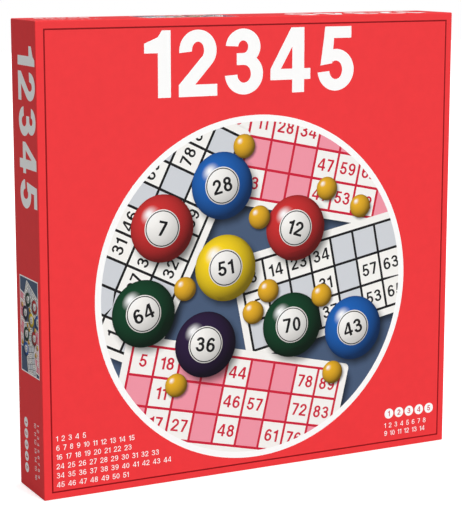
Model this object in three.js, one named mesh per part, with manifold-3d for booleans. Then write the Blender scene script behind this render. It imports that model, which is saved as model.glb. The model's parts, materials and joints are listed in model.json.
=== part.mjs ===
// Boxed bingo game: a full telescope set-up box that stands upright with its printed lid in front.
// The base tray nests in the lid, and the whole game is packed in the tray, one layer before another:
// a folded platform with a trough for the markers, two stacks of cards with the rules leaflet over
// them, the tally card, and the spinner card with its arrow nearest the lid.
// Units are millimetres. X is to the right, Y to the back and Z up.
// The origin is the middle of the underside of the closed box.

import * as THREE from 'three';
import { mergeVertices } from 'three/addons/utils/BufferGeometryUtils.js';
import { RoundedBoxGeometry } from 'three/addons/geometries/RoundedBoxGeometry.js';
import Module from 'manifold-3d';

const wasm = await Module();
wasm.setup();

// Board, paper and fits
const boardThickness = 1.3;
const wrapThickness = 0.2;
const wrapEdgeRadius = 0.3;
const turnInDepth = 15;
const lidFit = 0.3;
const rimGap = 0.3;
const seatGap = 0.3;
const sidePlay = 4.65;
const cutOverrun = 1;

// Markers
const markerDiameter = 19;
const markerThickness = 1.4;
const markerWaist = 0.35;
const markerRimWidth = 1.6;
const markerDish = 0.3;
const markersPerStack = 10;
const markerColumns = 5;
const markerRows = 2;
const markerGap = 0.4;

// Folded platform insert
const insertBoard = 0.8;
const insertBend = 0.6;
const insertFit = 0.5;
const markerHeadroom = 0.6;
const shelfOverCards = 14;
const troughPlay = 1.2;

// Bingo cards
const cardWidth = 120;
const cardHeight = 135;
const cardThickness = 1;
const cardCornerRadius = 4;
const cardsPerStack = 7;
const stackSpacing = 6;
const stackNames = ['left', 'right'];

// Rules leaflet, a sheet folded in half
const leafletWidth = 140;
const leafletHeight = 108;
const leafThickness = 0.25;
const leafSpread = 0.3;

// Tally card
const tallyWidth = 112;
const tallyThickness = 1;
const tallyCornerRadius = 4;

// Spinner card
const spinnerCardSize = 250;
const spinnerCardThickness = 1.8;
const spinnerCornerRadius = 5;
const washerDiameter = 12;
const frontWasherThickness = 0.8;
const backWasherThickness = 0.5;

// Eyelet that the arrow turns on
const eyeletDiameter = 4.4;
const eyeletBore = 3.4;
const eyeletFlangeDiameter = 7;
const eyeletFlangeThickness = 0.5;
const eyeletMouthRadius = 0.4;
const holeClearance = 0.3;
const spinClearance = 0.3;

// Arrow
const arrowTipLength = 66;
const arrowTailLength = 53;
const arrowHeadLength = 17;
const arrowHeadWidth = 15;
const arrowBarbSweep = 3.2;
const arrowWidth = 7.9;
const arrowTailDiameter = 11;
const arrowThickness = 2.2;
const arrowBevel = 0.4;
const bossDiameter = 15;
const bossHeight = 0.8;
const bossFillet = 4;
const ribWidth = 2;
const ribHeight = 0.5;
const arrowHeadroom = 2.5;
const arrowRestDegrees = 18;

// Facets
const markerSides = 16;
const roundSides = 32;
const cornerSteps = 4;
const bendSteps = 3;
const rollSteps = 2;
const edgeSteps = 1;

// Layers, each a depth in front of the tray's floor
const wallThickness = boardThickness + 2 * wrapThickness;
const panelThickness = boardThickness + wrapThickness;
const stackDepth = markersPerStack * markerThickness;
const troughFloor = seatGap + insertBoard;
const markerSeat = troughFloor + seatGap;
const insertRise = markerSeat + stackDepth + markerHeadroom;
const cardSeat = insertRise + seatGap;
const tallySeat = cardSeat + cardsPerStack * cardThickness + seatGap;
const eyeletBack = tallySeat + tallyThickness + seatGap;
const spinnerSeat = eyeletBack + eyeletFlangeThickness + backWasherThickness;
const washerSeat = spinnerSeat + spinnerCardThickness;
const arrowSeat = washerSeat + frontWasherThickness + spinClearance;
const flangeSeat = arrowSeat + arrowThickness + bossHeight + spinClearance;
const eyeletFront = flangeSeat + eyeletFlangeThickness;
const hollowDepth = eyeletFront + arrowHeadroom;

// Spans across the tray
const troughWidth = markerRows * (markerDiameter + markerGap) + troughPlay;
const pairWidth = 2 * cardWidth + stackSpacing;
const tallyHeight = spinnerCardSize;
const packWidth = Math.max(spinnerCardSize, tallyWidth, pairWidth, leafletWidth);
const shelfHeight = cardHeight + shelfOverCards;
const packHeight = Math.max(
  spinnerCardSize,
  cardHeight + leafletHeight,
  shelfHeight + troughWidth + shelfOverCards,
);
const hollowWidth = packWidth + 2 * sidePlay;
const hollowHeight = packHeight + 2 * sidePlay;

// Nested trays
const baseWidth = hollowWidth + 2 * wallThickness;
const baseHeight = hollowHeight + 2 * wallThickness;
const boxWidth = baseWidth + 2 * (lidFit + wallThickness);
const boxHeight = baseHeight + 2 * (lidFit + wallThickness);
const boxDepth = panelThickness + hollowDepth + panelThickness;
const baseDepth = boxDepth - panelThickness - rimGap;

// Places in the closed, standing box
const floorY = boxDepth / 2 - panelThickness;
const seatZ = boxHeight / 2 - hollowHeight / 2 + seatGap;
const cardCentreX = (cardWidth + stackSpacing) / 2;
const cardCentreZ = seatZ + cardHeight / 2;
const leafletZ = seatZ + cardHeight + seatGap;
const tallyCentreX = (tallyWidth - spinnerCardSize) / 2;
const tallyCentreZ = seatZ + tallyHeight / 2;
const spinnerCentreZ = seatZ + spinnerCardSize / 2;

// Height of a layer in front of the tray's floor as a place in the box
function layerY(depth) {
  return floorY - depth;
}

// A closed mesh as a solid that can be cut and joined
function toSolid(geometry) {
  const bare = geometry.index ? geometry.toNonIndexed() : geometry.clone();
  bare.deleteAttribute('normal');
  bare.deleteAttribute('uv');
  const merged = mergeVertices(bare);
  const vertProperties = new Float32Array(merged.attributes.position.array);
  const triVerts = new Uint32Array(merged.index.array);
  return new wasm.Manifold(new wasm.Mesh({ numProp: 3, vertProperties, triVerts }));
}

function toGeometry(solid) {
  const mesh = solid.getMesh();
  const geometry = new THREE.BufferGeometry();
  geometry.setAttribute('position', new THREE.BufferAttribute(mesh.vertProperties, 3));
  geometry.setIndex(new THREE.BufferAttribute(mesh.triVerts, 1));
  geometry.computeVertexNormals();
  return geometry;
}

function makeMaterial(color, roughness, metalness = 0) {
  return new THREE.MeshStandardMaterial({ color, roughness, metalness });
}

function makeMesh(name, geometry, color, roughness, metalness) {
  const mesh = new THREE.Mesh(geometry, makeMaterial(color, roughness, metalness));
  mesh.name = name;
  return mesh;
}

// A block centred across X and Z that runs along Y from startY
function makeBlock(width, depth, height, startY) {
  const block = new THREE.BoxGeometry(width, depth, height);
  block.translate(0, startY + depth / 2, 0);
  return toSolid(block);
}

// A tray lies with its panel's outside at Y zero and its open mouth at depth
function trayCore(width, depth, height) {
  const inset = 2 * wrapThickness;
  return makeBlock(width - inset, depth - inset, height - inset, wrapThickness);
}

// Chipboard of a tray: a panel and four walls, inside the paper
function makeTrayBoard(width, depth, height) {
  const inset = 2 * panelThickness;
  const hollow = makeBlock(width - inset, depth, height - inset, panelThickness);
  return toGeometry(trayCore(width, depth, height).subtract(hollow));
}

// Paper wrap of a tray: over the panel and the walls, round the rim and a hem's depth back inside
function makeTrayWrap(width, depth, height) {
  const block = new RoundedBoxGeometry(width, depth, height, edgeSteps, wrapEdgeRadius);
  block.translate(0, depth / 2, 0);
  const inset = 2 * panelThickness;
  const hem = makeBlock(width - inset, turnInDepth, height - inset, depth - turnInDepth);
  const mouthInset = 2 * wallThickness;
  const mouthDepth = turnInDepth + 2 * cutOverrun;
  const mouthStart = depth - turnInDepth - cutOverrun;
  const mouth = makeBlock(width - mouthInset, mouthDepth, height - mouthInset, mouthStart);
  const skin = toSolid(block).subtract(trayCore(width, depth, height));
  return toGeometry(skin.add(hem).subtract(mouth));
}

function makeTray(name, width, depth, height, wrapColor) {
  const tray = new THREE.Group();
  tray.add(makeMesh(`${name}_board`, makeTrayBoard(width, depth, height), 0xcfcac0, 0.9));
  tray.add(makeMesh(`${name}_wrap`, makeTrayWrap(width, depth, height), wrapColor, 0.45));
  return tray;
}

// The lid's panel is the front of the standing box and its mouth faces back
function makeLid() {
  const lid = makeTray('lid', boxWidth, boxDepth, boxHeight, 0xef3f41);
  lid.position.set(0, -boxDepth / 2, boxHeight / 2);
  return lid;
}

// The base is turned to face the lid, its panel flush with the lid's rim
function makeBase() {
  const base = makeTray('base', baseWidth, baseDepth, baseHeight, 0xd93a3c);
  base.rotation.z = Math.PI;
  base.position.set(0, boxDepth / 2, boxHeight / 2);
  return base;
}

// One side of a strip of board along a path of right-angled folds: side is 1 on the left and -1 on the right
function foldedSide(path, thickness, bend, side) {
  const middleRadius = bend + thickness / 2;
  const points = [];
  for (let i = 0; i < path.length; i += 1) {
    const here = path[i];
    const before = path[Math.max(i - 1, 0)];
    const after = path[Math.min(i + 1, path.length - 1)];
    const into = (i > 0 ? here.clone().sub(before) : after.clone().sub(here)).normalize();
    const out = (i < path.length - 1 ? after.clone().sub(here) : into.clone()).normalize();
    const turn = Math.sign(Math.round(into.cross(out)));
    if (turn === 0) {
      const normal = new THREE.Vector2(-into.y, into.x);
      points.push(here.clone().addScaledVector(normal, side * thickness / 2));
      continue;
    }
    const centre = here.clone().addScaledVector(into, -middleRadius).addScaledVector(out, middleRadius);
    const radius = middleRadius - turn * side * thickness / 2;
    for (let step = 0; step <= bendSteps; step += 1) {
      const angle = (Math.PI / 2) * (step / bendSteps);
      const point = centre.clone().addScaledVector(out, -radius * Math.cos(angle));
      points.push(point.addScaledVector(into, radius * Math.sin(angle)));
    }
  }
  return points;
}

function foldedShape(path, thickness, bend) {
  const left = foldedSide(path, thickness, bend, 1);
  const right = foldedSide(path, thickness, bend, -1);
  return new THREE.Shape([...left, ...right.reverse()]);
}

// Platform insert: a sheet folded into two shelves with the markers' trough between them.
// Its section is drawn as height along X and depth in front of the tray's floor along Y.
function makeInsert() {
  const half = insertBoard / 2;
  const height = hollowHeight + 2 * (wrapThickness - insertFit);
  const width = hollowWidth + 2 * (wrapThickness - insertFit);
  const front = insertRise - half;
  const troughLow = shelfHeight - half;
  const troughHigh = shelfHeight + troughWidth + half;
  const path = [
    new THREE.Vector2(half, seatGap),
    new THREE.Vector2(half, front),
    new THREE.Vector2(troughLow, front),
    new THREE.Vector2(troughLow, seatGap + half),
    new THREE.Vector2(troughHigh, seatGap + half),
    new THREE.Vector2(troughHigh, front),
    new THREE.Vector2(height - half, front),
    new THREE.Vector2(height - half, seatGap),
  ];
  const section = foldedShape(path, insertBoard, insertBend);
  const sheet = new THREE.ExtrudeGeometry(section, { depth: width, bevelEnabled: false });
  const axes = new THREE.Matrix4().makeBasis(
    new THREE.Vector3(0, 0, 1),
    new THREE.Vector3(0, -1, 0),
    new THREE.Vector3(1, 0, 0),
  );
  sheet.applyMatrix4(axes);
  const mesh = makeMesh('platform_insert', sheet, 0xd8d4cb, 0.9);
  mesh.position.set(-width / 2, floorY, boxHeight / 2 - height / 2);
  return mesh;
}

// A stack of markers: each has a rounded rim, and the front one shows its dished face
function makeMarkerStack() {
  const radius = markerDiameter / 2;
  const profile = [new THREE.Vector2(0, 0)];
  for (let i = 0; i < markersPerStack; i += 1) {
    profile.push(new THREE.Vector2(radius - markerWaist, i * markerThickness));
    profile.push(new THREE.Vector2(radius, (i + 1 / 2) * markerThickness));
  }
  const rimRadius = radius - markerRimWidth;
  profile.push(new THREE.Vector2(radius - markerWaist, stackDepth));
  profile.push(new THREE.Vector2(rimRadius, stackDepth));
  profile.push(new THREE.Vector2(rimRadius - markerDish, stackDepth - markerDish));
  profile.push(new THREE.Vector2(0, stackDepth - markerDish));
  return new THREE.LatheGeometry(profile, markerSides);
}

function makeMarkers() {
  const group = new THREE.Group();
  const pitch = markerDiameter + markerGap;
  const firstX = -pitch * (markerColumns - 1) / 2;
  const troughZ = boxHeight / 2 - hollowHeight / 2 + insertFit - wrapThickness + shelfHeight;
  const firstZ = troughZ + seatGap + markerDiameter / 2;
  const geometry = makeMarkerStack();
  for (let row = 0; row < markerRows; row += 1) {
    for (let column = 0; column < markerColumns; column += 1) {
      const number = String(row * markerColumns + column + 1).padStart(2, '0');
      const mesh = makeMesh(`marker_stack_${number}`, geometry.clone(), 0xd9a51e, 0.25);
      mesh.rotation.x = Math.PI;
      mesh.position.set(firstX + column * pitch, layerY(markerSeat), firstZ + row * pitch);
      group.add(mesh);
    }
  }
  return group;
}

// A flat card with rounded corners, drawn upright about its centre, its back at Y zero
function cardShape(width, height, radius) {
  const x = width / 2;
  const z = height / 2;
  const shape = new THREE.Shape();
  shape.absarc(x - radius, z - radius, radius, 0, Math.PI / 2);
  shape.absarc(radius - x, z - radius, radius, Math.PI / 2, Math.PI);
  shape.absarc(radius - x, radius - z, radius, Math.PI, 3 * Math.PI / 2);
  shape.absarc(x - radius, radius - z, radius, 3 * Math.PI / 2, 2 * Math.PI);
  return shape;
}

// An outline in X and Z made solid, from its back at Y zero towards the front
function standUp(shape, options) {
  const geometry = new THREE.ExtrudeGeometry(shape, { bevelEnabled: false, ...options });
  return geometry.rotateX(Math.PI / 2);
}

function makeBingoCards() {
  const group = new THREE.Group();
  const shape = cardShape(cardWidth, cardHeight, cardCornerRadius);
  stackNames.forEach((side, stack) => {
    for (let i = 0; i < cardsPerStack; i += 1) {
      const geometry = standUp(shape, { depth: cardThickness, curveSegments: cornerSteps });
      const mesh = makeMesh(`bingo_card_${side}_${i + 1}`, geometry, 0xf2efe9, 0.6);
      const x = stack === 0 ? -cardCentreX : cardCentreX;
      mesh.position.set(x, layerY(cardSeat + i * cardThickness), cardCentreZ);
      group.add(mesh);
    }
  });
  return group;
}

// Rules leaflet: two leaves joined by a round fold at its left edge
function makeLeaflet() {
  const outer = leafThickness + leafSpread / 2;
  const inner = leafSpread / 2;
  const shape = new THREE.Shape();
  shape.moveTo(leafletWidth, outer);
  shape.lineTo(outer, outer);
  shape.absarc(outer, 0, outer, Math.PI / 2, 3 * Math.PI / 2);
  shape.lineTo(leafletWidth, -outer);
  shape.lineTo(leafletWidth, -inner);
  shape.lineTo(outer, -inner);
  shape.absarc(outer, 0, inner, 3 * Math.PI / 2, Math.PI / 2, true);
  shape.lineTo(leafletWidth, inner);
  const options = { depth: leafletHeight, bevelEnabled: false, curveSegments: cornerSteps };
  const geometry = new THREE.ExtrudeGeometry(shape, options);
  const mesh = makeMesh('rules_leaflet', geometry, 0xf4f2ec, 0.7);
  mesh.position.set(-leafletWidth / 2, layerY(cardSeat + outer), leafletZ);
  return mesh;
}

function makeTallyCard() {
  const shape = cardShape(tallyWidth, tallyHeight, tallyCornerRadius);
  const geometry = standUp(shape, { depth: tallyThickness, curveSegments: cornerSteps });
  const mesh = makeMesh('tally_card', geometry, 0xf2efe9, 0.6);
  mesh.position.set(tallyCentreX, layerY(tallySeat), tallyCentreZ);
  return mesh;
}

// The hole that the eyelet passes through, the same in the card, the washers and the arrow
function eyeletHole() {
  const hole = new THREE.Path();
  hole.absarc(0, 0, eyeletDiameter / 2 + holeClearance, 0, 2 * Math.PI, true);
  return hole;
}

function makeSpinnerCard() {
  const shape = cardShape(spinnerCardSize, spinnerCardSize, spinnerCornerRadius);
  shape.holes.push(eyeletHole());
  const geometry = standUp(shape, { depth: spinnerCardThickness, curveSegments: roundSides / 2 });
  const mesh = makeMesh('spinner_card', geometry, 0xf0ede7, 0.55);
  mesh.position.set(0, layerY(spinnerSeat), spinnerCentreZ);
  return mesh;
}

function makeWasher(name, thickness, seat, color) {
  const shape = new THREE.Shape();
  shape.absarc(0, 0, washerDiameter / 2, 0, 2 * Math.PI);
  shape.holes.push(eyeletHole());
  const geometry = standUp(shape, { depth: thickness, curveSegments: roundSides / 2 });
  const mesh = makeMesh(name, geometry, color, 0.6);
  mesh.position.set(0, layerY(seat), spinnerCentreZ);
  return mesh;
}

// Points of an arc in quarter turns, for a profile that is turned about the axis
function quarterTurns(x, y, radius, firstQuarter, quarters) {
  const points = [];
  for (let step = 0; step <= quarters * rollSteps; step += 1) {
    const angle = (Math.PI / 2) * (firstQuarter + step / rollSteps);
    points.push(new THREE.Vector2(x + radius * Math.cos(angle), y + radius * Math.sin(angle)));
  }
  return points;
}

// Eyelet: a metal tube flared at each mouth into a flange with a rolled edge
function makeEyelet() {
  const bore = eyeletBore / 2;
  const tube = eyeletDiameter / 2;
  const roll = eyeletFlangeThickness / 2;
  const mouth = bore + eyeletMouthRadius;
  const edge = eyeletFlangeDiameter / 2 - roll;
  const length = eyeletFront - eyeletBack;
  const profile = [
    new THREE.Vector2(bore, length - eyeletMouthRadius),
    ...quarterTurns(mouth, eyeletMouthRadius, eyeletMouthRadius, 2, 1),
    ...quarterTurns(edge, roll, roll, -1, 2),
    new THREE.Vector2(tube, eyeletFlangeThickness),
    new THREE.Vector2(tube, length - eyeletFlangeThickness),
    ...quarterTurns(edge, length - roll, roll, -1, 2),
    ...quarterTurns(mouth, length - eyeletMouthRadius, eyeletMouthRadius, 1, 1),
  ];
  const geometry = new THREE.LatheGeometry(profile, roundSides);
  const mesh = makeMesh('spinner_eyelet', geometry, 0xb9975b, 0.3, 1);
  mesh.rotation.x = Math.PI;
  mesh.position.set(0, layerY(eyeletBack), spinnerCentreZ);
  return mesh;
}

// Outline of the arrow: its barbed head along +X, its round tail along -X, and its boss blended into the arm
function arrowShape() {
  const half = arrowWidth / 2 - arrowBevel;
  const head = arrowHeadWidth / 2 - arrowBevel;
  const tail = arrowTailDiameter / 2 - arrowBevel;
  const boss = bossDiameter / 2 - arrowBevel;
  const shoulder = arrowTipLength - arrowHeadLength;
  const tailAngle = Math.asin(half / tail);
  const filletHeight = half + bossFillet;
  const filletReach = Math.sqrt((boss + bossFillet) ** 2 - filletHeight ** 2);
  const filletAngle = Math.atan2(filletHeight, filletReach);
  const quarter = Math.PI / 2;
  const shape = new THREE.Shape();
  shape.moveTo(arrowTipLength - arrowBevel, 0);
  shape.lineTo(shoulder - arrowBarbSweep, head);
  shape.lineTo(shoulder, half);
  shape.absarc(filletReach, filletHeight, bossFillet, -quarter, filletAngle - Math.PI, true);
  shape.absarc(0, 0, boss, filletAngle, Math.PI - filletAngle);
  shape.absarc(-filletReach, filletHeight, bossFillet, -filletAngle, -quarter, true);
  shape.absarc(-arrowTailLength, 0, tail, tailAngle, 2 * Math.PI - tailAngle);
  shape.absarc(-filletReach, -filletHeight, bossFillet, quarter, filletAngle, true);
  shape.absarc(0, 0, boss, Math.PI + filletAngle, 2 * Math.PI - filletAngle);
  shape.absarc(filletReach, -filletHeight, bossFillet, Math.PI - filletAngle, quarter, true);
  shape.lineTo(shoulder, -half);
  shape.lineTo(shoulder - arrowBarbSweep, -head);
  return shape;
}

// Stiffening rib along the arrow's face, from its tail to its head, with sloped sides and round ends
function makeArrowRib() {
  const radius = ribWidth / 2;
  const shape = new THREE.Shape();
  shape.absarc(arrowTipLength - arrowHeadLength, 0, radius, -Math.PI / 2, Math.PI / 2);
  shape.absarc(-arrowTailLength, 0, radius, Math.PI / 2, 3 * Math.PI / 2);
  const bevel = { bevelEnabled: true, bevelThickness: ribHeight, bevelSize: ribHeight, bevelSegments: 1 };
  const rib = standUp(shape, { depth: arrowBevel, curveSegments: cornerSteps, ...bevel });
  return rib.translate(0, arrowBevel - arrowThickness, 0);
}

// Arrow: a bevelled blade with a rib and a raised boss, on the eyelet
function makeArrow() {
  const bevel = { bevelEnabled: true, bevelThickness: arrowBevel, bevelSize: arrowBevel, bevelSegments: 1 };
  const depth = arrowThickness - 2 * arrowBevel;
  const blade = standUp(arrowShape(), { depth, curveSegments: roundSides / 4, ...bevel });
  blade.translate(0, -arrowBevel, 0);
  const bossRadius = bossDiameter / 2 - bossHeight;
  const bossBlock = new THREE.CylinderGeometry(bossRadius, bossDiameter / 2, bossHeight + arrowBevel, roundSides);
  bossBlock.rotateX(Math.PI).translate(0, -arrowThickness - (bossHeight - arrowBevel) / 2, 0);
  const holeRadius = eyeletDiameter / 2 + holeClearance;
  const holeDepth = arrowThickness + bossHeight;
  const hole = new THREE.CylinderGeometry(holeRadius, holeRadius, holeDepth + 2 * cutOverrun, roundSides);
  hole.translate(0, -holeDepth / 2, 0);
  const body = toSolid(blade).add(toSolid(makeArrowRib())).add(toSolid(bossBlock));
  const mesh = makeMesh('spinner_arrow', toGeometry(body.subtract(toSolid(hole))), 0x1f63b4, 0.35);
  mesh.rotation.y = -THREE.MathUtils.degToRad(arrowRestDegrees);
  mesh.position.set(0, layerY(arrowSeat), spinnerCentreZ);
  return mesh;
}

function makeSpinner() {
  const spinner = new THREE.Group();
  spinner.add(makeSpinnerCard());
  spinner.add(makeWasher('arrow_washer', frontWasherThickness, washerSeat, 0xf5f5f2));
  spinner.add(makeWasher('back_washer', backWasherThickness, eyeletBack + eyeletFlangeThickness, 0x6b4a36));
  spinner.add(makeEyelet());
  spinner.add(makeArrow());
  return spinner;
}

const bingoGame = new THREE.Group();
bingoGame.add(makeLid());
bingoGame.add(makeBase());
bingoGame.add(makeInsert());
bingoGame.add(makeMarkers());
bingoGame.add(makeBingoCards());
bingoGame.add(makeLeaflet());
bingoGame.add(makeTallyCard());
bingoGame.add(makeSpinner());

export default bingoGame;
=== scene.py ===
"""Looks of the boxed bingo game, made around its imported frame.

The frame gives every rigid piece. This script adds the paper over both halves of the case, all print,
the single markers of each stack and a finish for every surface. All lengths are metres.
"""
import functools
import json
import math
import random

import bpy
from mathutils import Matrix, Vector
from mathutils.geometry import delaunay_2d_cdt


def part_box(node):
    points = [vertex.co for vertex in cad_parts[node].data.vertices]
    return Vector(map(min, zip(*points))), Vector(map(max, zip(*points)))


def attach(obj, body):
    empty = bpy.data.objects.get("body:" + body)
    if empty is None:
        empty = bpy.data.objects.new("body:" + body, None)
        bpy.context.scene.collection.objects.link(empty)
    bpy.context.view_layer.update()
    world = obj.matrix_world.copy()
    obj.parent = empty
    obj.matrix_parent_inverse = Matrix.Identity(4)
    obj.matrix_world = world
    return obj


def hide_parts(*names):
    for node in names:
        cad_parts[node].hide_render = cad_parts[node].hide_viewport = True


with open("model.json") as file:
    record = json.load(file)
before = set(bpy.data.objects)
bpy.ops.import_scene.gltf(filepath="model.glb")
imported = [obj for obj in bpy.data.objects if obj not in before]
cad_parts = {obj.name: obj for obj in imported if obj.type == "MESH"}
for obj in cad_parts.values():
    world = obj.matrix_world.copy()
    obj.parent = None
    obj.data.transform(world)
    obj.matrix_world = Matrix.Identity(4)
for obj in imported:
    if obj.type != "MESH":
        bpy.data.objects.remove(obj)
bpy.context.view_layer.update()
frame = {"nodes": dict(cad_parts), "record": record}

MM = 0.001
scene = bpy.context.scene
bodies = frame["record"]["behaviour"]["bodies"]
X, Y, Z = Vector((1, 0, 0)), Vector((0, 1, 0)), Vector((0, 0, 1))

# The case, from the frame
lid_low, lid_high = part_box("lid_wrap")
base_low, base_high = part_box("base_wrap")
board_low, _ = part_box("lid_board")
WIDTH = lid_high.x - lid_low.x
HEIGHT = lid_high.z - lid_low.z
PAPER = board_low.x - lid_low.x
BOARD = 1.3 * MM
TURN_IN = 15 * MM

# Colours as seen, before they are made linear
BLACK = (0, 0, 0)
WHITE = (255, 255, 255)
LID_RED = (240, 56, 60)
BASE_RED = (226, 50, 54)
CARD_WHITE = (245, 243, 239)
MARKER_YELLOW = (248, 206, 44)
BOARD_GREY = (186, 181, 171)
INSERT_GREY = (206, 201, 191)
LEAFLET_WHITE = (242, 240, 234)
ARROW_BLUE = (22, 96, 182)
WASHER_WHITE = (240, 240, 236)
FIBRE_BROWN = (96, 66, 48)
BRASS = (206, 176, 118)


def linear(colour):
    """An 8-bit sRGB colour as linear light, with alpha 1."""
    values = []
    for channel in colour:
        share = channel / 255
        values.append(share / 12.92 if share <= 0.04045 else ((share + 0.055) / 1.055) ** 2.4)
    return (*values, 1)


# Material nodes


def new_material(name, roughness):
    material = bpy.data.materials.new(name)
    material.use_nodes = True
    tree = material.node_tree
    shader = tree.nodes["Principled BSDF"]
    shader.inputs["Roughness"].default_value = roughness
    return material, tree, shader


def noise_node(tree, scale, detail, stretch=None):
    """Noise in the object's own coordinates, at a scale in cycles per metre."""
    coordinates = tree.nodes.new("ShaderNodeTexCoord")
    noise = tree.nodes.new("ShaderNodeTexNoise")
    noise.inputs["Scale"].default_value = scale
    noise.inputs["Detail"].default_value = detail
    source = coordinates.outputs["Object"]
    if stretch:
        mapping = tree.nodes.new("ShaderNodeMapping")
        mapping.inputs["Scale"].default_value = stretch
        tree.links.new(source, mapping.inputs["Vector"])
        source = mapping.outputs["Vector"]
    tree.links.new(source, noise.inputs["Vector"])
    return noise.outputs["Fac"]


def map_range(tree, factor, socket, low, high):
    """Takes a factor of zero to one into a socket, as low to high."""
    spread = tree.nodes.new("ShaderNodeMapRange")
    spread.inputs["To Min"].default_value = low
    spread.inputs["To Max"].default_value = high
    tree.links.new(factor, spread.inputs["Value"])
    tree.links.new(spread.outputs["Result"], socket)
    return spread


def map_colour(tree, shader, factor, stops):
    """Takes a factor into the base colour, through linear colours at these places."""
    ramp = tree.nodes.new("ShaderNodeValToRGB")
    elements = ramp.color_ramp.elements
    while len(elements) < len(stops):
        elements.new(1 / 2)
    for element, (place, colour) in zip(elements, stops):
        element.position = place
        element.color = colour
    tree.links.new(factor, ramp.inputs["Fac"])
    tree.links.new(ramp.outputs["Color"], shader.inputs["Base Color"])


def vary_colour(tree, shader, factor, colour, shares, amount=1):
    """The same for one colour, made lighter or darker by a share at each place."""
    base = linear(colour)[:3]
    stops = []
    for place, share in shares:
        lightness = 1 + share * amount
        stops.append((place, (*(min(channel * lightness, 1) for channel in base), 1)))
    map_colour(tree, shader, factor, stops)


def add_bump(tree, shader, height, strength, depth):
    bump = tree.nodes.new("ShaderNodeBump")
    bump.inputs["Strength"].default_value = strength
    bump.inputs["Distance"].default_value = depth
    tree.links.new(height, bump.inputs["Height"])
    tree.links.new(bump.outputs["Normal"], shader.inputs["Normal"])


# Paper and ink

PRESS_MOTTLE = 180
PRESS_SHARES = [(0.3, -1), (0.7, 1)]
PAPER_GRAIN = 2600
PAPER_RELIEF = 0.05 * MM
PAPER_SPECULAR = 0.15
GRAIN_ROUGHNESS = 0.05
COAT = 0.03
COAT_ROUGHNESS = 0.25
INK_ROUGHNESS = 0.48
TONE_NAME = "tone"
PLAIN_TONE = 0.5


def laminate(tree, shader, roughness, gloss):
    """The film over printed paper, and the fibres that show through it."""
    grain = noise_node(tree, PAPER_GRAIN, detail=2)
    low, high = roughness - GRAIN_ROUGHNESS, roughness + GRAIN_ROUGHNESS
    map_range(tree, grain, shader.inputs["Roughness"], low, high)
    add_bump(tree, shader, grain, strength=0.06, depth=PAPER_RELIEF)
    shader.inputs["Coat Weight"].default_value = gloss
    shader.inputs["Coat Roughness"].default_value = COAT_ROUGHNESS
    shader.inputs["Specular IOR Level"].default_value = PAPER_SPECULAR


def printed_paper(name, colour, mottle=0.018, roughness=0.5, gloss=COAT):
    """Ink under a matt laminate: an even colour with press mottle and a faint paper texture."""
    material, tree, shader = new_material(name, roughness)
    vary_colour(tree, shader, noise_node(tree, PRESS_MOTTLE, detail=4), colour, PRESS_SHARES, mottle)
    laminate(tree, shader, roughness, gloss)
    return material


def printed_ink(name, colour, shaded):
    """An ink on the same laminate: even, or taken by the mesh's own tone from black to white."""
    material, tree, shader = new_material(name, INK_ROUGHNESS)
    shader.inputs["Base Color"].default_value = linear(colour)
    if shaded:
        tone = tree.nodes.new("ShaderNodeAttribute")
        tone.attribute_name = TONE_NAME
        stops = [(0, linear(BLACK)), (PLAIN_TONE, linear(colour)), (1, linear(WHITE))]
        map_colour(tree, shader, tone.outputs["Fac"], stops)
    laminate(tree, shader, INK_ROUGHNESS, COAT)
    return material


# Board

PULP_FLECKS = 900
PULP_SHARES = [(0.32, -1), (0.46, -1 / 4), (0.6, 0), (0.74, 1 / 2)]
PULP_FIBRES = 1500
FIBRE_STRETCH = (1, 1, 1 / 4)
BOARD_RELIEF = 0.08 * MM
BOARD_SPECULAR = 0.2


def raw_board(name, colour, fleck=0.14):
    """Uncoated board: pulp flecks of several sizes and a felted surface."""
    material, tree, shader = new_material(name, roughness=0.9)
    vary_colour(tree, shader, noise_node(tree, PULP_FLECKS, detail=8), colour, PULP_SHARES, fleck)
    fibres = noise_node(tree, PULP_FIBRES, detail=6, stretch=FIBRE_STRETCH)
    add_bump(tree, shader, fibres, strength=0.35, depth=BOARD_RELIEF)
    shader.inputs["Specular IOR Level"].default_value = BOARD_SPECULAR
    return material


# Plastic and metal

CLEAR_FLOW = 160
CLEAR_SHARES = [(0.3, -0.1), (0.7, 0.06)]
CLEAR_SMEARS = 900
CLEAR_RELIEF = 0.1 * MM
CLEAR_TRANSMISSION = 0.72
CLEAR_IOR = 1.49
MOULD_FLOW = 120
MOULD_SHARES = [(0.3, -0.06), (0.7, 0.05)]
MOULD_TEXTURE = 3200
MOULD_SMOOTHER = 0.06
MOULD_ROUGHER = 0.08
MOULD_RELIEF = 0.03 * MM
METAL_TARNISH = 700
METAL_SHARES = [(0.35, -0.22), (0.65, 0)]
METAL_SCRATCHES = 2400
SCRATCH_STRETCH = (1, 1 / 5, 1)
METAL_RELIEF = 0.02 * MM


def clear_plastic(name, colour):
    """Tinted clear plastic, a little uneven where it was moulded."""
    material, tree, shader = new_material(name, roughness=0.1)
    flow = noise_node(tree, CLEAR_FLOW, detail=2)
    vary_colour(tree, shader, flow, colour, CLEAR_SHARES)
    smears = noise_node(tree, CLEAR_SMEARS, detail=3)
    map_range(tree, smears, shader.inputs["Roughness"], low=0.08, high=0.2)
    add_bump(tree, shader, flow, strength=0.08, depth=CLEAR_RELIEF)
    shader.inputs["Transmission Weight"].default_value = CLEAR_TRANSMISSION
    shader.inputs["IOR"].default_value = CLEAR_IOR
    return material


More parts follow.
